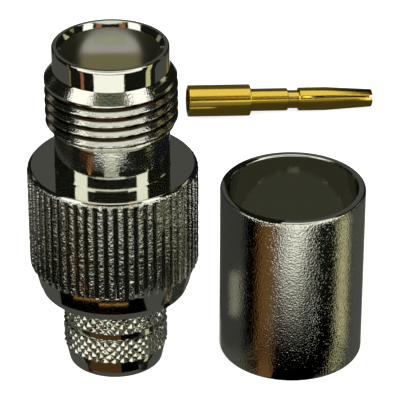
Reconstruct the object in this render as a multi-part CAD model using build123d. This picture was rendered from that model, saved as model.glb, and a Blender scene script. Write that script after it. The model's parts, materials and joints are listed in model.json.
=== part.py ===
from build123d import *
import os
from math import atan2, cos, degrees, radians, sin

# In-line crimp jack for a coaxial cable, laid out as a kit before it is fitted: the jack stands on
# its crimp stem, the crimp ferrule stands beside it, and the socket contact lies loose behind.
# Millimetres. The origin is the centre of the crimp stem's end, +Z runs up the jack to its mating
# face, and the surface that everything stands on is Z = 0.

# Knurled body, from the cable end upwards
stem_length = 7.23
stem_diameter = 8.98            # over the crests of the two knurled bands
stem_root_diameter = 8.60       # smooth groove and smooth end of the stem
stem_tip_diameter = 8.10
stem_tip_taper_length = 1.28
stem_tip_length = 1.64
stem_lower_band_length = 2.23
stem_groove_length = 0.59
cable_bore_diameter = 7.50      # takes the cable's dielectric
shoulder_diameter = 12.50
shoulder_height = 0.70
foot_height = 1.73
foot_base_diameter = 13.00
foot_top_diameter = 13.80
collar_diameter = 14.40
collar_height = 9.24
collar_chamfer_width = 0.32
collar_chamfer_height = 0.40
flute_count = 53
flute_depth = 0.27
flute_mouth_share = 0.52        # of the pitch, at the collar's surface
flute_floor_share = 0.20        # of the pitch, at the bottom of the flute
seat_depth = 5.10               # counterbore for the barrel's tail and the insulator's flange
seat_diameter = 9.40

# Jack barrel, from the collar's top face upwards
neck_diameter = 9.70
neck_length = 3.55
rear_cone_height = 0.80
thread_diameter = 11.05         # major diameter of 7/16 inch, 28 threads to the inch
thread_length = 3.85
front_cone_height = 0.90
lip_diameter = 9.68
lip_length = 1.90
rim_chamfer = 0.12
mouth_diameter = 8.84           # countersink at the rim
mouth_countersink_depth = 0.40
mating_bore_diameter = 8.13
mating_bore_depth = 8.40        # from the rim to the step that the plug's sleeve meets
barrel_bore_diameter = 7.00

# Insulator
flange_thickness = 0.80
nose_diameter = 4.76
nose_setback = 3.55             # from the rim down to the nose's face
nose_chamfer = 0.20
snap_ridge_share = 0.70         # of the contact's groove length

# Socket contact, from its crimp end to its tip
contact_barrel_diameter = 3.20
contact_barrel_length = 6.32
conductor_bore_diameter = 2.40
conductor_bore_floor = 0.82     # metal left between the conductor's bore and the waist
waist_diameter = 2.30
waist_length = 3.86
groove_diameter = 1.86
groove_length = 1.17
head_diameter = 2.36
head_length = 2.76
taper_length = 4.83
tip_diameter = 1.80
contact_chamfer = 0.10
socket_bore_diameter = 1.36
socket_bore_depth = 5.80
slot_count = 4
slot_width = 0.22
slot_length = 5.20
slot_turn = 53.0                # degrees that the slots are turned about the contact's axis

# Crimp ferrule
ferrule_diameter = 12.40
ferrule_bore_diameter = 11.00   # passes over the cable's jacket
ferrule_length = 15.70
ferrule_outer_chamfer = 0.18
ferrule_inner_chamfer = 0.14

# Clearances between pieces, on the radius
tail_clearance = 0.005          # press fit of the barrel's tail, drawn just clear
insulator_clearance = 0.01
contact_clearance = 0.05        # bore of the insulator round the contact's head

# Where the loose pieces lie
ferrule_place = (15.20, 1.50)
contact_place = (6.06, 42.90)   # under the middle of the contact's crimp end
contact_heading = 8.0           # degrees from +X, seen from above

# Heights of the jack's sections, worked out from the lengths above
shoulder_z = stem_length
foot_z = shoulder_z + shoulder_height
collar_z = foot_z + foot_height
collar_top_z = collar_z + collar_height
ledge_z = collar_top_z - seat_depth
tail_z = ledge_z + flange_thickness
thread_z = collar_top_z + neck_length + rear_cone_height
thread_top_z = thread_z + thread_length
lip_z = thread_top_z + front_cone_height
rim_z = lip_z + lip_length
reference_z = rim_z - mating_bore_depth
nose_z = rim_z - nose_setback


def turned(*outline):
    """Solid of revolution about Z from the corners (radius, height) of its half section."""
    section = Plane.XZ * make_face(Polyline(*outline, close=True))
    return revolve(section, Axis.Z)


def rod(diameter, low, high):
    """Cylinder on the Z axis between two heights."""
    return Pos(0, 0, low) * Cylinder(
        diameter / 2, high - low, align=(Align.CENTER, Align.CENTER, Align.MIN))


def collar_flutes():
    """Cutters for the straight knurl: one trapezoid for each flute, run past both ends."""
    floor = collar_diameter / 2 - flute_depth
    outer = collar_diameter / 2 + flute_depth
    half_pitch = 180 / flute_count
    half_mouth = radians(half_pitch * flute_mouth_share)
    half_floor = radians(half_pitch * flute_floor_share)
    flare = half_mouth + (half_mouth - half_floor)
    corners = [
        (floor, -half_floor),
        (outer, -flare),
        (outer, flare),
        (floor, half_floor),
    ]
    outline = Polyline(*[(r * cos(a), r * sin(a)) for r, a in corners], close=True)
    flute = extrude(make_face(outline), collar_height)
    return Pos(0, 0, collar_z) * PolarLocations(0, flute_count, start_angle=-90 + half_pitch) * flute


def knurled_body():
    """Fluted collar, conical foot, shoulder and crimp stem, turned in one piece."""
    stem = stem_diameter / 2
    root = stem_root_diameter / 2
    collar = collar_diameter / 2
    lower_band_z = stem_tip_length + stem_lower_band_length
    upper_band_z = lower_band_z + stem_groove_length
    blank = turned(
        (0, 0),
        (stem_tip_diameter / 2, 0),
        (root, stem_tip_taper_length),
        (root, stem_tip_length),
        (stem, stem_tip_length),
        (stem, lower_band_z),
        (root, lower_band_z),
        (root, upper_band_z),
        (stem, upper_band_z),
        (stem, shoulder_z),
        (shoulder_diameter / 2, shoulder_z),
        (shoulder_diameter / 2, foot_z),
        (foot_base_diameter / 2, foot_z),
        (foot_top_diameter / 2, collar_z),
        (collar, collar_z),
        (collar, collar_top_z - collar_chamfer_height),
        (collar - collar_chamfer_width, collar_top_z),
        (0, collar_top_z),
    )
    cable_bore = rod(cable_bore_diameter, 0, ledge_z)
    seat = rod(seat_diameter, ledge_z, collar_top_z)
    return blank - collar_flutes() - cable_bore - seat


def jack_barrel():
    """Threaded front, neck and press-fit tail. The thread is drawn at its major diameter."""
    neck = neck_diameter / 2
    tail = seat_diameter / 2 - tail_clearance
    thread = thread_diameter / 2
    lip = lip_diameter / 2
    outside = turned(
        (0, tail_z),
        (tail, tail_z),
        (tail, collar_top_z),
        (neck, collar_top_z),
        (neck, thread_z - rear_cone_height),
        (thread, thread_z),
        (thread, thread_top_z),
        (lip, lip_z),
        (lip, rim_z - rim_chamfer),
        (lip - rim_chamfer, rim_z),
        (0, rim_z),
    )
    inside = turned(
        (0, tail_z),
        (barrel_bore_diameter / 2, tail_z),
        (barrel_bore_diameter / 2, reference_z),
        (mating_bore_diameter / 2, reference_z),
        (mating_bore_diameter / 2, rim_z - mouth_countersink_depth),
        (mouth_diameter / 2, rim_z),
        (0, rim_z),
    )
    return outside - inside


def insulator():
    """PTFE insulator: flange, barrel, nose sleeve, and a ridge that snaps into the contact."""
    flange = seat_diameter / 2 - insulator_clearance
    barrel = barrel_bore_diameter / 2 - insulator_clearance
    nose = nose_diameter / 2
    bore = head_diameter / 2 + contact_clearance
    ridge = groove_diameter / 2 + contact_clearance
    ridge_half = groove_length * snap_ridge_share / 2
    ridge_z = ledge_z + waist_length + groove_length / 2
    return turned(
        (bore, ledge_z),
        (flange, ledge_z),
        (flange, tail_z),
        (barrel, tail_z),
        (barrel, reference_z),
        (nose, reference_z),
        (nose, nose_z - nose_chamfer),
        (nose - nose_chamfer, nose_z),
        (bore, nose_z),
        (bore, ridge_z + ridge_half),
        (ridge, ridge_z + ridge_half),
        (ridge, ridge_z - ridge_half),
        (bore, ridge_z - ridge_half),
    )


def upright_contact():
    """Socket contact on the Z axis, crimp end down, before it is laid in its place."""
    barrel = contact_barrel_diameter / 2
    waist = waist_diameter / 2
    groove = groove_diameter / 2
    head = head_diameter / 2
    tip = tip_diameter / 2
    edge = contact_chamfer
    waist_top = contact_barrel_length + waist_length
    groove_top = waist_top + groove_length
    head_top = groove_top + head_length
    contact_length = head_top + taper_length
    blank = turned(
        (0, 0),
        (barrel - edge, 0),
        (barrel, edge),
        (barrel, contact_barrel_length - edge),
        (barrel - edge, contact_barrel_length),
        (waist, contact_barrel_length),
        (waist, waist_top),
        (groove, waist_top),
        (groove, groove_top),
        (head, groove_top),
        (head, head_top),
        (tip, contact_length - edge),
        (tip - edge, contact_length),
        (0, contact_length),
    )
    conductor_bore = rod(conductor_bore_diameter, 0, contact_barrel_length - conductor_bore_floor)
    socket_bore = rod(socket_bore_diameter, contact_length - socket_bore_depth, contact_length)
    slot = Pos(0, 0, contact_length) * Box(
        head, slot_width, slot_length, align=(Align.MIN, Align.CENTER, Align.MAX))
    slots = PolarLocations(0, slot_count, start_angle=slot_turn) * slot
    return blank - conductor_bore - socket_bore - slots


def contact_tilt():
    """Angle that the contact dips by when it rests on its crimp barrel's rim and its head."""
    barrel = contact_barrel_diameter / 2
    to_head = waist_length + groove_length + head_length
    head_dip = atan2(barrel - head_diameter / 2, to_head)
    tip_dip = atan2(barrel - tip_diameter / 2, to_head + taper_length)
    return min(head_dip, tip_dip)


def socket_contact():
    """Socket contact lying on its side, crimp end towards the jack."""
    dip = contact_tilt()
    barrel = contact_barrel_diameter / 2
    # The rim of the crimp barrel that rests on the surface is this far along and below the axis.
    rim_drop = contact_barrel_length * sin(dip) + barrel * cos(dip)
    lying = Rot(0, 90 + degrees(dip), 0) * upright_contact()
    x, y = contact_place
    return Pos(x, y, rim_drop) * Rot(0, 0, contact_heading) * lying


def crimp_ferrule():
    """Plain tube that is crimped over the cable's braid and the knurled stem."""
    outer = ferrule_diameter / 2
    bore = ferrule_bore_diameter / 2
    tube = turned(
        (bore, ferrule_inner_chamfer),
        (bore + ferrule_inner_chamfer, 0),
        (outer - ferrule_outer_chamfer, 0),
        (outer, ferrule_outer_chamfer),
        (outer, ferrule_length - ferrule_outer_chamfer),
        (outer - ferrule_outer_chamfer, ferrule_length),
        (bore + ferrule_inner_chamfer, ferrule_length),
        (bore, ferrule_length - ferrule_inner_chamfer),
    )
    return Pos(*ferrule_place, 0) * tube


pieces = {
    "jack_barrel": jack_barrel(),
    "knurled_body": knurled_body(),
    "insulator": insulator(),
    "socket_contact": socket_contact(),
    "crimp_ferrule": crimp_ferrule(),
}

os.makedirs("parts", exist_ok=True)
for name, piece in pieces.items():
    export_step(piece, f"parts/{name}.step")
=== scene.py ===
import json
from math import atan2, cos, floor, hypot, pi, radians, sin, tan

import bmesh
import bpy
from mathutils import Matrix, Vector, noise


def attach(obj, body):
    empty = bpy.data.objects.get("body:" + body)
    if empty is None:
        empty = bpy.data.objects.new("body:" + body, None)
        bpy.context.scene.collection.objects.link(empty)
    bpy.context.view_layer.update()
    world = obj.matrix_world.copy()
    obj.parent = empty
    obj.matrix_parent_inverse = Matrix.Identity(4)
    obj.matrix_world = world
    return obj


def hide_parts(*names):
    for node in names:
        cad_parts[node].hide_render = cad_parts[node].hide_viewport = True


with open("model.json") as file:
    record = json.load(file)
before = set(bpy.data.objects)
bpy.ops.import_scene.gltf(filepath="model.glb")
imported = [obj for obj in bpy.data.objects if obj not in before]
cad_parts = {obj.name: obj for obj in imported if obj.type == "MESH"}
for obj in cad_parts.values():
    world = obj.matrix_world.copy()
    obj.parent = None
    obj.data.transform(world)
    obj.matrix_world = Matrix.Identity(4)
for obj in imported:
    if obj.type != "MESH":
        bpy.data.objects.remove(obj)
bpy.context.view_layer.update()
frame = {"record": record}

MM = 0.001


# Jack barrel: the threaded mating end. It is turned from brass bar, its 28-to-the-inch thread is cut
# with a single point, and it is plated with bright nickel. Its tail is pressed into the knurled body.
def linear(hex_colour, alpha=1.0):
    """An sRGB hex colour as the linear values that Blender's sockets take."""
    channels = [int(hex_colour[i:i + 2], 16) / 255 for i in (1, 3, 5)]
    return [c / 12.92 if c <= 0.04045 else ((c + 0.055) / 1.055) ** 2.4 for c in channels] + [alpha]


def node(tree, kind, settings=None, **links):
    """One node with its settings and its inputs, each a value or another node's output socket."""
    new = tree.nodes.new(kind)
    for name, value in (settings or {}).items():
        setattr(new, name, value)
    for name, value in links.items():
        key = int(name[1:]) if name[0] == "_" else name.replace("_", " ")
        if isinstance(value, bpy.types.NodeSocket):
            tree.links.new(value, new.inputs[key])
        else:
            new.inputs[key].default_value = value
    return new


def finish_named(name):
    """A new material with only its output and a principled shader joined to it."""
    material = bpy.data.materials.new(name)
    material.use_nodes = True
    tree = material.node_tree
    tree.nodes.clear()
    shader = node(tree, "ShaderNodeBsdfPrincipled")
    node(tree, "ShaderNodeOutputMaterial", Surface=shader.outputs[0])
    return material, tree, shader


def spun(outline, columns):
    """A bmesh turned about Z from the (radius, height) corners of its half section, in millimetres."""
    turned = bmesh.new()
    corners = [turned.verts.new((0, -radius * MM, height * MM)) for radius, height in outline]
    runs = zip(corners, corners[1:] + corners[:1])
    edges = [turned.edges.new(run) for run in runs if run[0].co.y or run[1].co.y]
    bmesh.ops.spin(
        turned, geom=corners + edges, cent=(0, 0, 0), axis=(0, 0, 1), dvec=(0, 0, 0),
        angle=2 * pi, steps=columns, use_merge=True)
    bmesh.ops.remove_doubles(turned, verts=turned.verts, dist=1e-8)
    bmesh.ops.recalc_face_normals(turned, faces=turned.faces)
    return turned


def rows(start, end, gap):
    """Points along a straight run of an outline, no further apart than the gap, without its end."""
    length = hypot(end[0] - start[0], end[1] - start[1])
    count = max(1, int(length / gap + 0.999))
    return [
        (start[0] + (end[0] - start[0]) * i / count, start[1] + (end[1] - start[1]) * i / count)
        for i in range(count)
    ]


def piece(name, shape, material, crease=32):
    """A finished object from a bmesh: smooth, with its edges sharper than the crease left sharp."""
    mesh = bpy.data.meshes.new(name)
    shape.to_mesh(mesh)
    shape.free()
    mesh.polygons.foreach_set("use_smooth", [True] * len(mesh.polygons))
    mesh.set_sharp_from_angle(angle=radians(crease))
    mesh.materials.append(material)
    made = bpy.data.objects.new(name, mesh)
    bpy.context.scene.collection.objects.link(made)
    flats = made.modifiers.new("flat_faces_stay_flat", "WEIGHTED_NORMAL")
    flats.keep_sharp = True
    return made


tail_radius, neck_radius, thread_radius, lip_radius = 4.695, 4.85, 5.525, 4.84
bore_radius, insulator_bore_radius = 4.065, 3.50
tail_low, collar_top, rear_cone, thread_low, thread_high, lip_low, rim = (
    14.60, 18.90, 22.45, 23.25, 27.10, 28.00, 29.90)
bore_floor = 21.50
thread_pitch = 25.4 / 28
thread_root, start_root = 5.085, 4.93                    # radii of the groove: along it, at its start
root_flat, upper_flank, lower_flank = 0.05, 0.40, 0.35   # half width of the root, heights of the flanks
root_height_in_front = 26.587                            # the top groove, where it passes the front
run_out_from, run_out_over = 0.42, 0.16                  # turns: where the groove ends, and its fade
start_from, start_over = 1.10, 0.03                      # turns: where it starts, on the front cone


def thread_cut(height, azimuth):
    """Radius that the thread's groove leaves, at a height and at turns to the right of the front."""
    along = (height - root_height_in_front) / thread_pitch - azimuth
    turn = floor(along + 0.5)
    off_root = (along - turn) * thread_pitch
    flank = lower_flank if off_root > 0 else upper_flank
    share = min(1, max(0, (abs(off_root) - root_flat) / flank))
    turns = turn + azimuth
    if turns > 1:
        depth = (thread_radius - start_root) * min(1, max(0, (turns - start_from) / start_over))
    else:
        depth = (thread_radius - thread_root) * min(1, max(0, (run_out_from - turns) / run_out_over))
    return thread_radius - depth * (1 - share)


outline = (
    rows((tail_radius, tail_low), (tail_radius, collar_top), 2.0)
    + [(tail_radius, collar_top), (4.875, collar_top), (4.865, 18.905), (4.853, 18.92)]
    + rows((neck_radius, 18.94), (neck_radius, rear_cone), 0.30)
    + rows((neck_radius, rear_cone), (thread_radius, thread_low), 0.034)
    + rows((thread_radius, thread_low), (thread_radius, thread_high), 0.028)
    + rows((thread_radius, thread_high), (lip_radius, lip_low), 0.034)
    + rows((lip_radius, lip_low), (lip_radius, rim - 0.14), 0.4)
    + [(4.835, 29.80), (4.80, 29.86), (4.75, 29.89), (4.68, rim), (4.47, rim), (4.42, 29.88)]
    + rows((4.40, 29.86), (4.085, 29.52), 0.2)
    + [(4.07, 29.49), (bore_radius, 29.46)]
    + rows((bore_radius, 29.40), (bore_radius, bore_floor), 1.0)
    + [(bore_radius, bore_floor), (insulator_bore_radius, bore_floor), (insulator_bore_radius, tail_low)]
)
shape = spun(outline, 240)
for vert in shape.verts:
    radius = hypot(vert.co.x, vert.co.y) / MM
    height = vert.co.z / MM
    if radius > 4.79 and rear_cone < height < 28.1:
        azimuth = atan2(vert.co.x, -vert.co.y) / (2 * pi)
        cut = min(radius, thread_cut(height, azimuth))
        vert.co.x *= cut / radius
        vert.co.y *= cut / radius

# Bright nickel over turned brass: a mirror with a faint warm cast. The plating follows the tool marks
# and the fine pits of the brass, so the reflections break up into grains about 0.2 mm across.
barrel_finish, tree, shader = finish_named("bright nickel, turned brass")
shader.inputs["Metallic"].default_value = 1.0
place = node(tree, "ShaderNodeTexCoord").outputs["Object"]
parts = node(tree, "ShaderNodeSeparateXYZ", _0=place)
# The flanks of the thread and the neck were left as the tool cut them, so they are satin; the lip is
# brighter. The two zones change over at these heights.
above_neck = node(
    tree, "ShaderNodeMapRange", {"interpolation_type": "SMOOTHSTEP"}, Value=parts.outputs["Z"],
    From_Min=20.2 * MM, From_Max=20.9 * MM, To_Min=0.0, To_Max=1.0)
below_lip = node(
    tree, "ShaderNodeMapRange", {"interpolation_type": "SMOOTHSTEP"}, Value=parts.outputs["Z"],
    From_Min=27.8 * MM, From_Max=28.02 * MM, To_Min=1.0, To_Max=0.0)
flat = node(tree, "ShaderNodeCombineXYZ", X=parts.outputs["X"], Y=parts.outputs["Y"], Z=0.0)
reach = node(tree, "ShaderNodeVectorMath", {"operation": "LENGTH"}, _0=flat.outputs[0])
bored = node(
    tree, "ShaderNodeMath", {"operation": "LESS_THAN"}, _0=reach.outputs["Value"], _1=4.072 * MM)
# The cones and the thread were cut with a finer feed than the neck, and the bore was honed.
smoothed = node(
    tree, "ShaderNodeMapRange", Value=parts.outputs["Z"], From_Min=22.50 * MM, From_Max=22.60 * MM,
    To_Min=1.0, To_Max=0.65)
honed = node(tree, "ShaderNodeMath", {"operation": "MULTIPLY"}, _0=bored.outputs[0], _1=0.19)
outside = node(
    tree, "ShaderNodeMath", {"operation": "SUBTRACT"}, _0=below_lip.outputs[0], _1=bored.outputs[0])
satin = node(
    tree, "ShaderNodeMath", {"operation": "MULTIPLY", "use_clamp": True}, _0=above_neck.outputs[0],
    _1=outside.outputs[0])
rough = node(
    tree, "ShaderNodeMapRange", Value=satin.outputs[0], From_Min=0.0, From_Max=1.0,
    To_Min=0.06, To_Max=0.12)
rough = node(tree, "ShaderNodeMath", {"operation": "MAXIMUM"}, _0=rough.outputs[0], _1=honed.outputs[0])
tree.links.new(rough.outputs[0], shader.inputs["Roughness"])
pits = node(tree, "ShaderNodeTexNoise", Vector=place, Scale=1 / (0.17 * MM), Detail=2.0, Roughness=0.5)
depth = node(
    tree, "ShaderNodeMath", {"operation": "MULTIPLY"}, _0=satin.outputs[0], _1=smoothed.outputs[0])
depth = node(tree, "ShaderNodeMath", {"operation": "MAXIMUM"}, _0=depth.outputs[0], _1=0.12)
pitted = node(
    tree, "ShaderNodeBump", Strength=depth.outputs[0], Distance=0.022 * MM, Height=pits.outputs[0])
tree.links.new(pitted.outputs[0], shader.inputs["Normal"])
# Painted shade: the root of the thread gets a dark brown base colour, which stands in for the shade
# and the dark reflections deep in the groove.
in_thread = node(
    tree, "ShaderNodeMath", {"operation": "COMPARE"}, _0=parts.outputs["Z"], _1=25.18 * MM, _2=2.18 * MM)
near_root = node(
    tree, "ShaderNodeMapRange", {"interpolation_type": "SMOOTHSTEP"}, Value=reach.outputs["Value"],
    From_Min=5.18 * MM, From_Max=5.28 * MM, To_Min=1.0, To_Max=0.0)
out_of_bore = node(
    tree, "ShaderNodeMath", {"operation": "GREATER_THAN"}, _0=reach.outputs["Value"], _1=4.90 * MM)
painted_root_shade = node(
    tree, "ShaderNodeMath", {"operation": "MULTIPLY"}, _0=in_thread.outputs[0], _1=near_root.outputs[0])
painted_root_shade = node(
    tree, "ShaderNodeMath", {"operation": "MULTIPLY"}, _0=painted_root_shade.outputs[0], _1=out_of_bore.outputs[0])
# The dark brown is the painted shade in the thread's root.
plated = node(
    tree, "ShaderNodeMix", {"data_type": "RGBA"}, _0=painted_root_shade.outputs[0], _6=linear("#D9D9CE"),
    _7=linear("#33281A"))
tree.links.new(plated.outputs[2], shader.inputs["Base Color"])

barrel = piece("plated_barrel", shape, barrel_finish, crease=30)
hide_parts("jack_barrel")
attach(barrel, "root")


# Insulator: turned from fluoropolymer rod. Its flange is trapped between the barrel's tail and the
# body's seat, and its nose stands in the mouth of the jack.
outline = [
    (1.23, 13.81), (4.69, 13.81), (4.69, 14.59), (3.49, 14.59), (3.49, 21.50), (2.38, 21.50),
    (2.38, 26.15), (2.35, 26.24), (2.27, 26.32), (2.18, 26.35), (1.32, 26.35), (1.25, 26.32),
    (1.23, 26.25),
]
insulator_finish, tree, shader = finish_named("turned fluoropolymer")
shader.inputs["Base Color"].default_value = linear("#E9E8E2")
shader.inputs["IOR"].default_value = 1.35
shader.inputs["Roughness"].default_value = 0.42
shader.inputs["Subsurface Weight"].default_value = 0.9
shader.inputs["Subsurface Radius"].default_value = (1.5 * MM, 1.5 * MM, 1.3 * MM)
shader.inputs["Subsurface Scale"].default_value = 1.0
# The lathe leaves rings about 0.08 mm apart, which a waxy plastic keeps only faintly.
place = node(tree, "ShaderNodeTexCoord").outputs["Object"]
rings = node(
    tree, "ShaderNodeTexWave", {"wave_type": "RINGS", "rings_direction": "SPHERICAL"}, Vector=place,
    Scale=pi / 10 / (0.08 * MM), Distortion=1.5, Detail=1.0)
turned_rings = node(
    tree, "ShaderNodeBump", Strength=0.25, Distance=0.004 * MM, Height=rings.outputs["Fac"])
tree.links.new(turned_rings.outputs[0], shader.inputs["Normal"])
nose = piece("nose_insulator", spun(outline, 128), insulator_finish)
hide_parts("insulator")
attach(nose, "root")


# Knurled body: turned from one brass bar. The collar's 53 flutes are rolled in with a straight knurl,
# which leaves their crests rough, and the two bands of the crimp stem are rolled with a diamond knurl.
flutes, flute_depth = 53, 0.30
crest_half, flank_share = 0.21, 0.12                     # of the flutes' pitch
flute_end, flute_fade = 18.60, 0.28                      # where the roll leaves the collar's top edge
collar_low, collar_radius, collar_crown = 9.66, 7.20, 18.90
cable_bore_radius, root_radius, stem_radius = 3.75, 4.30, 4.49
shoulder_low, foot_low = 7.23, 7.93
band_edges = ((1.64, 3.87), (4.46, shoulder_low))
diamonds, diamond_depth, diamond_rise = 35, 0.18, 0.95   # starts each way; helix rise against arc

outline = (
    [(cable_bore_radius, 0.06), (3.81, 0.0), (4.02, 0.0), (4.05, 0.03)]
    + rows((4.06, 0.06), (root_radius, 1.28), 0.3)
    + [(root_radius, 1.28), (root_radius, 1.57), (root_radius, 1.60)]
    + rows((4.44, 1.64), (4.44, 3.84), 0.062)
    + [(4.44, 3.84), (root_radius, 3.87), (root_radius, 3.90), (root_radius, 4.43), (root_radius, 4.46)]
    + rows((4.44, 4.49), (4.44, 7.16), 0.062)
    + [(4.40, 7.20), (root_radius, shoulder_low), (6.20, shoulder_low), (6.25, 7.28), (6.25, 7.90),
       (6.28, foot_low)]
    + rows((6.50, foot_low), (6.90, collar_low), 0.25)
    + [(6.90, collar_low), (7.02, collar_low), (7.13, 9.72)]
    + rows((collar_radius, 9.86), (collar_radius, 18.50), 0.125)
    + [(collar_radius, 18.48), (7.175, 18.54), (7.13, 18.60), (7.04, 18.71), (6.94, 18.83),
       (6.90, 18.87), (6.86, 18.892), (6.81, collar_crown)]
    + rows((6.75, collar_crown), (4.70, collar_crown), 0.7)
    + [(4.70, collar_crown), (4.70, 13.80), (cable_bore_radius, 13.80)]
)
shape = spun(outline, flutes * 9)
for vert in shape.verts:
    radius = hypot(vert.co.x, vert.co.y) / MM
    height = vert.co.z / MM
    arc = atan2(vert.co.x, -vert.co.y)
    new_radius = radius
    on_band = any(low - 0.001 <= height <= high + 0.001 for low, high in band_edges)
    if radius > 6.85 and height > 9.6:
        from_ridge = abs((arc * flutes / (2 * pi) + 0.5) % 1 - 0.5)
        slope = min(1, max(0, (from_ridge - crest_half) / flank_share))
        run_out = min(1, max(0, (flute_end - height) / flute_fade))
        new_radius = min(radius, collar_radius - flute_depth * slope * run_out ** 0.6)
        if slope < 1 and 9.8 < height < flute_end:
            crest = Vector((arc * collar_radius / 0.22, height / 0.22, 3.7))
            new_radius += (noise.noise(crest) * 0.06 - 0.02) * (1 - slope)
        new_radius = min(new_radius, collar_radius)
    elif on_band and 4.39 < radius < 5:
        rise = height * diamond_rise / stem_radius
        right = abs(((arc + rise) * diamonds / (2 * pi) + 0.30 * noise.noise(vert.co * 900)) % 1 - 0.5) * 2
        left = abs(((arc - rise) * diamonds / (2 * pi) + 0.30 * noise.noise(vert.co * 800)) % 1 - 0.5) * 2
        bottom = max(1 - right, 1 - left)
        grain = noise.noise(vert.co * 2600) * 0.02
        new_radius = stem_radius - diamond_depth * max(0, bottom - 0.12) / 0.88 + min(0, grain)
    if new_radius != radius:
        vert.co.x *= new_radius / radius
        vert.co.y *= new_radius / radius

# Bright nickel over knurled brass. The rolls tear the crests, which shows as bright specks about
# 0.2 mm across, while the bottoms of the flutes stay as smooth as the bar.
body_finish, tree, shader = finish_named("bright nickel, knurled brass")
shader.inputs["Metallic"].default_value = 1.0
shader.inputs["Base Color"].default_value = linear("#D9D9CE")
place = node(tree, "ShaderNodeTexCoord").outputs["Object"]
parts = node(tree, "ShaderNodeSeparateXYZ", _0=place)
flat = node(tree, "ShaderNodeCombineXYZ", X=parts.outputs["X"], Y=parts.outputs["Y"], Z=0.0)
reach = node(tree, "ShaderNodeVectorMath", {"operation": "LENGTH"}, _0=flat.outputs[0])
on_crest = node(
    tree, "ShaderNodeMapRange", {"interpolation_type": "SMOOTHSTEP"}, Value=reach.outputs["Value"],
    From_Min=6.98 * MM, From_Max=7.10 * MM, To_Min=0.0, To_Max=1.0)
below_face = node(
    tree, "ShaderNodeMath", {"operation": "LESS_THAN"}, _0=parts.outputs["Z"], _1=18.76 * MM)
torn = node(
    tree, "ShaderNodeMath", {"operation": "MULTIPLY"}, _0=on_crest.outputs[0], _1=below_face.outputs[0])
rough = node(
    tree, "ShaderNodeMapRange", Value=torn.outputs[0], From_Min=0.0, From_Max=1.0,
    To_Min=0.07, To_Max=0.20)
tree.links.new(rough.outputs[0], shader.inputs["Roughness"])
specks = node(tree, "ShaderNodeTexNoise", Vector=place, Scale=1 / (0.19 * MM), Detail=1.5, Roughness=0.5)
depth = node(
    tree, "ShaderNodeMapRange", Value=torn.outputs[0], From_Min=0.0, From_Max=1.0,
    To_Min=0.007, To_Max=1.0)
torn_bump = node(
    tree, "ShaderNodeBump", Strength=depth.outputs[0], Distance=0.11 * MM, Height=specks.outputs[0])
tree.links.new(torn_bump.outputs[0], shader.inputs["Normal"])

body = piece("knurled_shell", shape, body_finish, crease=38)
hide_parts("knurled_body")
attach(body, "root")


# Socket contact: turned from beryllium copper, slotted with a thin saw so that its fingers grip the
# plug's pin, and gold plated. It lies loose until it is crimped to the cable's conductor.
mount = next(m for m in frame["record"]["mounts"] if m["name"] == "conductor_bore")
along = -Vector(mount["axis"]).normalized()
down = (Vector((0, 0, -1)) + along * along.z).normalized()
laid = Matrix((down, along.cross(down), along)).transposed().to_4x4()
laid.translation = Vector(mount["pos_m"])
outline = [
    (1.20, 0.0), (1.50, 0.0), (1.57, 0.03), (1.60, 0.10), (1.60, 6.22), (1.57, 6.29), (1.50, 6.32),
    (1.17, 6.32), (1.15, 6.36), (1.15, 10.12), (1.11, 10.18), (0.95, 10.18), (0.93, 10.22), (0.93, 11.31),
    (0.95, 11.35), (1.14, 11.35), (1.18, 11.40), (1.18, 14.11), (0.90, 18.84), (0.87, 18.91), (0.80, 18.94),
    (0.72, 18.94), (0.68, 18.88), (0.68, 13.14), (0.0, 13.14), (0.0, 5.50), (1.20, 5.50),
]
shape = spun(outline, 96)
bmesh.ops.transform(shape, matrix=laid, verts=shape.verts)

contact_length, slot_width, slot_length, past_tip = 18.94, 0.22, 5.2, 0.02
saw = bmesh.new()
for turn in (53, 143):
    blade = bmesh.ops.create_cube(saw, size=1)["verts"]
    bmesh.ops.scale(saw, vec=(3.2 * MM, slot_width * MM, slot_length * MM), verts=blade)
    bmesh.ops.translate(saw, vec=(0, 0, (contact_length - slot_length / 2 + past_tip) * MM), verts=blade)
    bmesh.ops.rotate(saw, cent=(0, 0, 0), matrix=Matrix.Rotation(radians(turn), 3, "Z"), verts=blade)
bmesh.ops.transform(saw, matrix=laid, verts=saw.verts)

# Gold over beryllium copper: a warm mirror. Fine turning rings, about 0.05 mm apart on the real one
# and drawn at 0.12 mm so that they show, spread its highlights along the axis.
contact_finish, tree, shader = finish_named("gold plate, turned copper alloy")
shader.inputs["Metallic"].default_value = 1.0
shader.inputs["Base Color"].default_value = linear("#EDCA50")
shader.inputs["Roughness"].default_value = 0.16
turned_place = node(
    tree, "ShaderNodeMapping", {"vector_type": "POINT"},
    Vector=node(tree, "ShaderNodeTexCoord").outputs["Object"],
    Rotation=laid.to_3x3().transposed().to_euler())
rings = node(
    tree, "ShaderNodeTexWave", {"wave_type": "BANDS", "bands_direction": "Z"},
    Vector=turned_place.outputs[0], Scale=pi / 10 / (0.12 * MM), Distortion=1.2, Detail=1.0)
turned_rings = node(
    tree, "ShaderNodeBump", Strength=0.35, Distance=0.006 * MM, Height=rings.outputs["Fac"])
tree.links.new(turned_rings.outputs[0], shader.inputs["Normal"])

contact = piece("gold_contact", shape, contact_finish, crease=25)
blades = piece("saw_blades", saw, contact_finish)
slotted = contact.modifiers.new("slots", "BOOLEAN")
slotted.operation = "DIFFERENCE"
slotted.solver = "EXACT"
slotted.use_self = True
slotted.object = blades
cut_mesh = bpy.data.meshes.new_from_object(contact.evaluated_get(bpy.context.evaluated_depsgraph_get()))
contact.modifiers.clear()
contact.data = cut_mesh
bpy.data.objects.remove(blades)
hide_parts("socket_contact")
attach(contact, "root")


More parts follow.
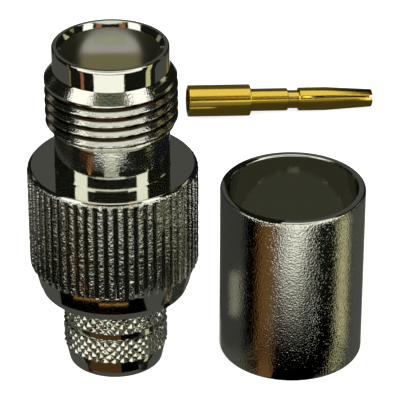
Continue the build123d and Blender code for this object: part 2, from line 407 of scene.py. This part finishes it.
# Crimp ferrule: a length of drawn brass tube, cut off square, its edges broken, barrel-plated with
# bright nickel. It is squeezed over the cable's braid and the knurled stem.
mount = next(m for m in frame["record"]["mounts"] if m["name"] == "ferrule_bore")
ferrule_x, ferrule_y = mount["pos_m"][0], mount["pos_m"][1]
inner, outer, length = 5.50, 6.20, 15.70
outline = (
    [(inner, 0.14), (5.54, 0.05), (5.64, 0.0), (6.02, 0.0), (6.14, 0.05), (outer, 0.18)]
    + rows((outer, 0.18), (outer, 15.52), 0.5)[1:]
    + [(outer, 15.52), (6.17, 15.61), (6.11, 15.67), (6.02, length), (5.64, length), (5.57, 15.67),
       (5.52, 15.62), (inner, 15.56)]
    + rows((inner, 15.50), (inner, 0.20), 1.0)
)
shape = spun(outline, 192)
bmesh.ops.translate(shape, vec=(ferrule_x, ferrule_y, 0), verts=shape.verts)

# Bright nickel over drawn tube. Annealing and tumbling leave the wall pebbled: grains 0.15 to 0.3 mm
# across that break a reflected edge into specks.
ferrule_finish, tree, shader = finish_named("bright nickel, drawn brass tube")
shader.inputs["Metallic"].default_value = 1.0
shader.inputs["Base Color"].default_value = linear("#D9D9CE")
shader.inputs["Roughness"].default_value = 0.07
place = node(tree, "ShaderNodeTexCoord").outputs["Object"]
grains = node(tree, "ShaderNodeTexNoise", Vector=place, Scale=1 / (0.15 * MM), Detail=1.0, Roughness=0.5)
from_axis = node(
    tree, "ShaderNodeVectorMath", {"operation": "SUBTRACT"}, _0=place, _1=(ferrule_x, ferrule_y, 0))
from_axis = node(
    tree, "ShaderNodeVectorMath", {"operation": "MULTIPLY"}, _0=from_axis.outputs[0], _1=(1, 1, 0))
reach = node(tree, "ShaderNodeVectorMath", {"operation": "LENGTH"}, _0=from_axis.outputs[0])
outside = node(
    tree, "ShaderNodeMapRange", Value=reach.outputs["Value"], From_Min=6.10 * MM, From_Max=6.18 * MM,
    To_Min=0.06, To_Max=1.0)
pebbled = node(
    tree, "ShaderNodeBump", Strength=outside.outputs[0], Distance=0.044 * MM, Height=grains.outputs[0])
tree.links.new(pebbled.outputs[0], shader.inputs["Normal"])
ferrule = piece("plated_ferrule", shape, ferrule_finish)
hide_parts("crimp_ferrule")
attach(ferrule, "root")


# Studio: a pale floor under soft light, and round it a dark room with a white card and two softboxes,
# which only the plating mirrors: the lamps alone light the set. Azimuths run from the front (-Y)
# towards +X, in degrees.
def glow(name, hex_colour, strength, one_sided=False):
    """A card's material: plain light of one colour, perhaps clear when it is seen from behind."""
    material = bpy.data.materials.new(name)
    material.use_nodes = True
    tree = material.node_tree
    tree.nodes.clear()
    light = node(tree, "ShaderNodeEmission", Color=linear(hex_colour), Strength=strength)
    if one_sided:
        behind = node(tree, "ShaderNodeNewGeometry").outputs["Backfacing"]
        light = node(
            tree, "ShaderNodeMixShader", Fac=behind, _1=light.outputs[0],
            _2=node(tree, "ShaderNodeBsdfTransparent").outputs[0])
    node(tree, "ShaderNodeOutputMaterial", Surface=light.outputs[0])
    material.cycles.emission_sampling = "NONE"
    return material


def set_up(name, shape, material, mirrored_only=True):
    """A stage object. A card round the set is only there for mirror rays."""
    card = piece(name, shape, material)
    if mirrored_only:
        card.visible_camera = card.visible_diffuse = card.visible_shadow = False
        card.visible_transmission = card.visible_volume_scatter = False
    return card


def card(name, turn, tilt, away, hex_colour, strength, centre=(0.007, 0.0, 0.012)):
    """An upright curved card between two azimuths and two elevations, at a distance in metres."""
    shape = bmesh.new()
    start = Matrix.Rotation(radians(turn[0]), 3, "Z")
    ends = [shape.verts.new(start @ Vector((0, -away, away * tan(radians(t))))) for t in tilt]
    edge = shape.edges.new(ends)
    bmesh.ops.spin(
        shape, geom=ends + [edge], cent=(0, 0, 0), axis=(0, 0, 1), dvec=(0, 0, 0),
        angle=radians(turn[1] - turn[0]), steps=max(2, int((turn[1] - turn[0]) / 3)))
    bmesh.ops.translate(shape, vec=centre, verts=shape.verts)
    return set_up(name, shape, glow(name, hex_colour, strength))


def board(name, corners, height, hex_colour, strength):
    """A small flat board beside the pieces, from its corners and height in millimetres."""
    shape = bmesh.new()
    shape.faces.new([shape.verts.new((x * MM, y * MM, height * MM)) for x, y in corners])
    return set_up(name, shape, glow(name, hex_colour, strength))


def screen(name, start, end, heights, hex_colour, strength):
    """A small upright screen. It is seen from the right of the way from its start to its end."""
    shape = bmesh.new()
    low, high = heights
    corners = ((start, low), (end, low), (end, high), (start, high))
    shape.faces.new([shape.verts.new((x * MM, y * MM, z * MM)) for (x, y), z in corners])
    return set_up(name, shape, glow(name, hex_colour, strength, one_sided=True))


def sector(name, centre, turn, near, far, height, hex_colour, strength):
    """A flat ring-shaped board round a piece, between two azimuths and two radii in millimetres."""
    shape = bmesh.new()
    start = Matrix.Rotation(radians(turn[0]), 3, "Z")
    ends = [shape.verts.new(start @ Vector((0, -r * MM, height * MM))) for r in (near, far)]
    edge = shape.edges.new(ends)
    bmesh.ops.spin(
        shape, geom=ends + [edge], cent=(0, 0, 0), axis=(0, 0, 1), dvec=(0, 0, 0),
        angle=radians(turn[1] - turn[0]), steps=max(2, int((turn[1] - turn[0]) / 3)))
    bmesh.ops.translate(shape, vec=(centre[0] * MM, centre[1] * MM, 0), verts=shape.verts)
    return set_up(name, shape, glow(name, hex_colour, strength))


# The far room, 1.4 m and more away: dark walls, the white card low in front, its coloured edges, the
# softboxes above the set, and small lights at the sides.
room = bmesh.new()
bmesh.ops.create_uvsphere(room, u_segments=48, v_segments=24, radius=4.0)
set_up("room_walls", room, glow("grey room", "#FCFFF4", 0.084))
card("black_front", (-84, 98), (-52, 70), 1.60, "#F4FFD8", 0.010)
card("black_left", (-165, -84), (-12, 60), 1.60, "#F4FFD8", 0.010)
card("black_right", (98, 165), (-12, 60), 1.60, "#F4FFD8", 0.010)
card("white_card", (-31.5, 27), (-42, -12), 1.50, "#FFFFFA", 1.30)
card("copper_edge", (-58.5, -52.5), (-45, -14), 1.48, "#D49060", 0.55)
card("cream_edge", (74, 85), (-45, 20), 1.44, "#D6D2A4", 0.95)
card("olive_line_left", (-85.5, -83), (-45, 20), 1.44, "#B8A860", 0.6)
card("left_softbox", (-79, -50), (10, 56), 1.40, "#FFFFFA", 1.5)
card("right_softbox", (50, 75), (10, 56), 1.40, "#FFFFFA", 1.5)
card("left_softbox_wing", (-51, -34), (34, 46), 1.41, "#FFFFFA", 1.5)
card("right_softbox_wing", (33, 51), (34, 46), 1.41, "#FFFFFA", 1.5)
card("copper_left_high", (-42, -25), (48.5, 57), 1.38, "#D08858", 0.6)
card("copper_right_high", (25, 42), (48.5, 57), 1.38, "#D08858", 0.6)
card("grey_centre_high", (-33, 32), (36, 48), 1.43, "#D0D8B8", 0.28)
card("low_strip", (-62, 62), (-8, 24), 1.42, "#FFFFF4", 1.3)
card("small_light_left", (-133, -123), (11, 22), 1.38, "#F0E8D0", 0.32)
card("small_light_right", (110, 124), (14, 27), 1.38, "#E8E4B8", 0.7)
card("thread_light_right", (98, 108), (35, 43), 1.38, "#CCBC80", 0.5)
card("back_card", (166, 194), (-40, -8), 1.38, "#FFFFFA", 0.5)
overhead = bmesh.new()
bmesh.ops.create_circle(overhead, cap_ends=True, segments=48, radius=0.80)
bmesh.ops.translate(overhead, vec=(0, 0, 1.3), verts=overhead.verts)
set_up("overhead_sheet", overhead, glow("white sheet overhead", "#FFFFFA", 0.95))

# Small boards close to the pieces are what their lower parts mirror instead of the white card. These
# lie round the jack, at the heights of its neck and of its collar's lower edge. They glow for mirror
# rays alone: painted reflections, black, pale and copper.
sector("black_before_collar", (0, 0), (-80, 3), 7.25, 23.4, 9.5, "#F4FFD8", 0.008)
board(
    "black_before_collar_right",
    [(0.4, -7.25), (7.85, -7.25), (7.85, -15.6), (16, -15.6), (9.9, -21.2), (1.2, -23.4)],
    9.5, "#F4FFD8", 0.008)
sector("black_before_neck", (0, 0), (-150, 150), 10.4, 14.6, 17.0, "#F4FFD8", 0.010)
sector("pale_before_neck", (0, 0), (-11, 11), 10.4, 14.6, 17.05, "#F0F4DC", 0.62)
sector("copper_before_neck", (0, 0), (-35.5, -32.5), 10.4, 14.6, 17.05, "#E8A058", 0.8)
board("copper_strip", [(-3.4, -7.5), (-3.0, -7.8), (-14.2, -18.1), (-14.6, -17.7)], 9.52, "#D08030", 0.5)

# On the table before the ferrule, darkest next to it: painted shade and painted reflections, glowing
# sheets that only mirror rays meet, graded from black beside the ferrule to pale further out.
board("black_before_ferrule", [(9.6, -4.5), (9.6, -12), (44, -12), (44, -4.5)], 0.04, "#000000", 0.0)
board("dark_before_ferrule", [(8.9, -12), (5.9, -17), (22.4, -17), (19.9, -12)], 0.04, "#FFFFF0", 0.09)
board("grey_before_ferrule", [(5.9, -17), (2.9, -22), (24.9, -22), (22.4, -17)], 0.04, "#FFFFF0", 0.27)
board("pale_before_ferrule", [(2.9, -22), (-0.1, -27), (27.4, -27), (24.9, -22)], 0.04, "#FFFFF0", 0.64)
board(
    "black_left_before_ferrule",
    [(11, -15), (7.1, -15), (5.9, -17), (-0.1, -27), (-3, -33), (3.9, -33), (10.2, -17)],
    0.045, "#FFFFF0", 0.01)
board(
    "black_right_before_ferrule",
    [(19.4, -15), (21.4, -15), (22.4, -17), (27.4, -27), (30.4, -33), (26.6, -33), (20.2, -17)],
    0.045, "#FFFFF0", 0.01)
board(
    "brown_before_ferrule", [(12.3, -4.0), (8.0, -6.9), (8.0, -13.0), (13.3, -4.6)],
    0.06, "#8A6438", 0.62)

# Between the jack and the ferrule, and at the ferrule's right. Each is seen from one side alone. They
# glow for mirror rays alone: painted reflections, the black and grey ones painted shade.
screen("brown_beside_ferrule", (8.0, -15.5), (8.0, -6.7), (0, 13), "#8A6438", 0.62)
screen("black_beside_ferrule", (8.0, -6.7), (8.0, -3.3), (0, 15), "#000000", 0.0)
screen("grey_beside_ferrule", (8.1, -3.4), (8.1, 7.0), (0, 17), "#FCFFF4", 0.05)
screen("pale_patch_beside_ferrule", (8.2, -2.6), (8.2, -0.8), (3.8, 8.1), "#FFFFE4", 0.24)
screen("grey_before_shoulder", (7.9, -4.9), (7.9, -15.5), (0, 7), "#FCFFF4", 0.084)
screen("black_before_collar_side", (7.9, -4.9), (7.9, -15.5), (7, 13), "#F4FFD8", 0.008)
screen("black_beside_collar", (8.2, 8.0), (8.2, -3.4), (8.6, 19.5), "#C8D0FF", 0.012)
screen("olive_right_of_ferrule", (24.0, -2.3), (24.0, -4.5), (0, 13.4), "#D6D2A4", 0.85)
screen("black_right_of_ferrule", (24.1, -4.5), (24.1, -5.6), (0, 13.4), "#F4FFD8", 0.008)

# Round the contact: painted reflections and painted shade, glowing sheets that only mirror rays meet.
# The lip of the jack mirrors the first.
board("gold_behind_lip", [(29, 41), (38, 41), (38, 48), (29, 48)], 0.05, "#C89828", 0.6)
screen("grey_before_contact", (27, 41.2), (3, 37.8), (1.5, 3.1), "#FFFFF0", 0.24)
screen("black_before_contact", (27, 41.2), (3, 37.8), (0, 1.5), "#FFFFF0", 0.07)
board("black_under_contact", [(3, 37.8), (27, 41.2), (27, 45.6), (3, 42.2)], 0.03, "#FFFFF0", 0.06)
screen("light_before_crimp_end", (9.5, 38.9), (5.0, 38.3), (0.2, 0.75), "#FFFFF0", 0.8)

# Rings on the table round the jack, from its stem outwards. The stem, the foot and the shoulder mirror
# them in that order, from the bottom up. They glow for mirror rays alone: painted reflections, the thin
# gold rings painted highlights on the foot, the black ones painted shade.
sector("brown_at_tip", (0, 0), (-37, 9), 4.45, 7.2, 0.06, "#7A5430", 0.4)
sector("black_at_tip", (0, 0), (9, 34), 4.45, 7.2, 0.06, "#000000", 0.0)
sector("pale_at_lower_band", (0, 0), (-75, 50), 7.2, 9.8, 0.06, "#F0F0DC", 0.42)
sector("brown_at_groove", (0, 0), (-48, 11), 9.8, 11.2, 0.06, "#7A5430", 0.4)
sector("black_at_groove", (0, 0), (11, 46), 9.8, 11.2, 0.06, "#000000", 0.0)
sector("black_at_foot", (0, 0), (-75, 60), 11.2, 13.5, 0.06, "#000000", 0.0)
sector("gold_at_foot_left", (0, 0), (-52, -16), 12.72, 12.80, 0.08, "#E0A848", 1.3)
sector("gold_at_foot_right", (0, 0), (-18, 18), 12.28, 12.36, 0.08, "#E0A848", 1.3)
sector("pale_at_upper_band", (0, 0), (-75, 30), 13.5, 15.4, 0.06, "#F0F0DC", 0.42)
sector("grey_at_shoulder", (0, 0), (-110, 30), 15.4, 20.0, 0.05, "#FCFFF4", 0.084)

# Inside the ferrule and the jack's mouth. The dark sheets are painted shade, in place of the deep dark
# of the hollows; the pale disc in the nose's hole and the sleeve round the back of the nose glow, a
# painted reflection of the lit insulator in the bore.
sector(
    "dark_in_ferrule", (ferrule_x / MM, ferrule_y / MM), (-180, 180), 0.01, 5.45, 8.0, "#FCFFD8", 0.05)
sector("dark_in_mouth", (0, 0), (-180, 180), 2.5, 4.04, 24.4, "#FCFFE0", 0.012)
sector("pale_in_nose", (0, 0), (-180, 180), 0.01, 1.20, 26.28, "#FCFFE0", 0.42)
card("nose_back_in_mouth", (95, 265), (-29.7, 28), 0.00246, "#D8CE98", 0.30, centre=(0, 0, 0.0249))

# The floor keeps the shadow and is white to the camera. Mirror rays pass through it, because the cards
# reach below its level.
floor_finish = bpy.data.materials.new("pale floor")
floor_finish.use_nodes = True
tree = floor_finish.node_tree
tree.nodes.clear()
path = node(tree, "ShaderNodeLightPath")
seen = node(
    tree, "ShaderNodeMath", {"operation": "MAXIMUM"}, _0=path.outputs["Is Camera Ray"],
    _1=path.outputs["Is Glossy Ray"])
seen = node(
    tree, "ShaderNodeMath", {"operation": "MAXIMUM"}, _0=seen.outputs[0],
    _1=path.outputs["Is Transmission Ray"])
matt = node(tree, "ShaderNodeBsdfDiffuse", Color=linear("#EFEFEC"))
lift = node(tree, "ShaderNodeMath", {"operation": "MULTIPLY"}, _0=seen.outputs[0], _1=0.80)
white = node(tree, "ShaderNodeEmission", Color=linear("#FFFFFF"), Strength=lift.outputs[0])
both = node(tree, "ShaderNodeAddShader", _0=matt.outputs[0], _1=white.outputs[0])
node(tree, "ShaderNodeOutputMaterial", Surface=both.outputs[0])
floor_finish.cycles.emission_sampling = "NONE"
ground = bmesh.new()
bmesh.ops.create_grid(ground, x_segments=1, y_segments=1, size=1.2)
ground_object = set_up("pale_floor", ground, floor_finish, mirrored_only=False)
ground_object.visible_glossy = False

world = bpy.data.worlds.new("white surround")
bpy.context.scene.world = world
world.cycles.sampling_method = "NONE"
world.use_nodes = True
tree = world.node_tree
tree.nodes.clear()
path = node(tree, "ShaderNodeLightPath")
seen = node(
    tree, "ShaderNodeMath", {"operation": "MAXIMUM"}, _0=path.outputs["Is Camera Ray"],
    _1=path.outputs["Is Glossy Ray"])
seen = node(
    tree, "ShaderNodeMath", {"operation": "MAXIMUM"}, _0=seen.outputs[0],
    _1=path.outputs["Is Transmission Ray"])
strength = node(
    tree, "ShaderNodeMapRange", Value=seen.outputs[0], From_Min=0.0, From_Max=1.0,
    To_Min=0.30, To_Max=1.0)
surround = node(tree, "ShaderNodeBackground", Color=linear("#FFFFFF"), Strength=strength.outputs[0])
node(tree, "ShaderNodeOutputWorld", Surface=surround.outputs[0])


def lamp(name, place, size, watts):
    """A soft square lamp that looks at the jack. Its card stands for it in the mirrors."""
    light = bpy.data.lights.new(name, "AREA")
    light.size = size
    light.energy = watts
    hung = bpy.data.objects.new(name, light)
    hung.location = place
    hung.rotation_euler = (Vector((0.007, 0, 0.01)) - Vector(place)).to_track_quat("-Z", "Y").to_euler()
    hung.visible_glossy = False
    bpy.context.scene.collection.objects.link(hung)


lamp("lamp_left", (-0.45, -0.30, 0.35), 0.35, 1.2)
lamp("lamp_right", (0.45, -0.30, 0.35), 0.35, 1.2)
lamp("lamp_overhead", (0.0, 0.05, 0.60), 0.50, 1.0)

# The camera stands 30 degrees above the level and 220 mm from the middle of the set.
tilt, away = 0.526, 0.220
target = Vector((7.311, 0, 15.261)) * MM
lens = bpy.data.cameras.new("studio_camera")
lens.sensor_fit = "HORIZONTAL"
lens.sensor_width = 36
lens.lens = 234.8
lens.clip_start = 0.01
lens.clip_end = 20
camera = bpy.data.objects.new("studio_camera", lens)
camera.location = target + Vector((0, -cos(tilt), sin(tilt))) * away
camera.rotation_euler = (target - camera.location).to_track_quat("-Z", "Y").to_euler()
bpy.context.scene.collection.objects.link(camera)
bpy.context.scene.camera = camera
bpy.context.scene.view_settings.view_transform = "Standard"
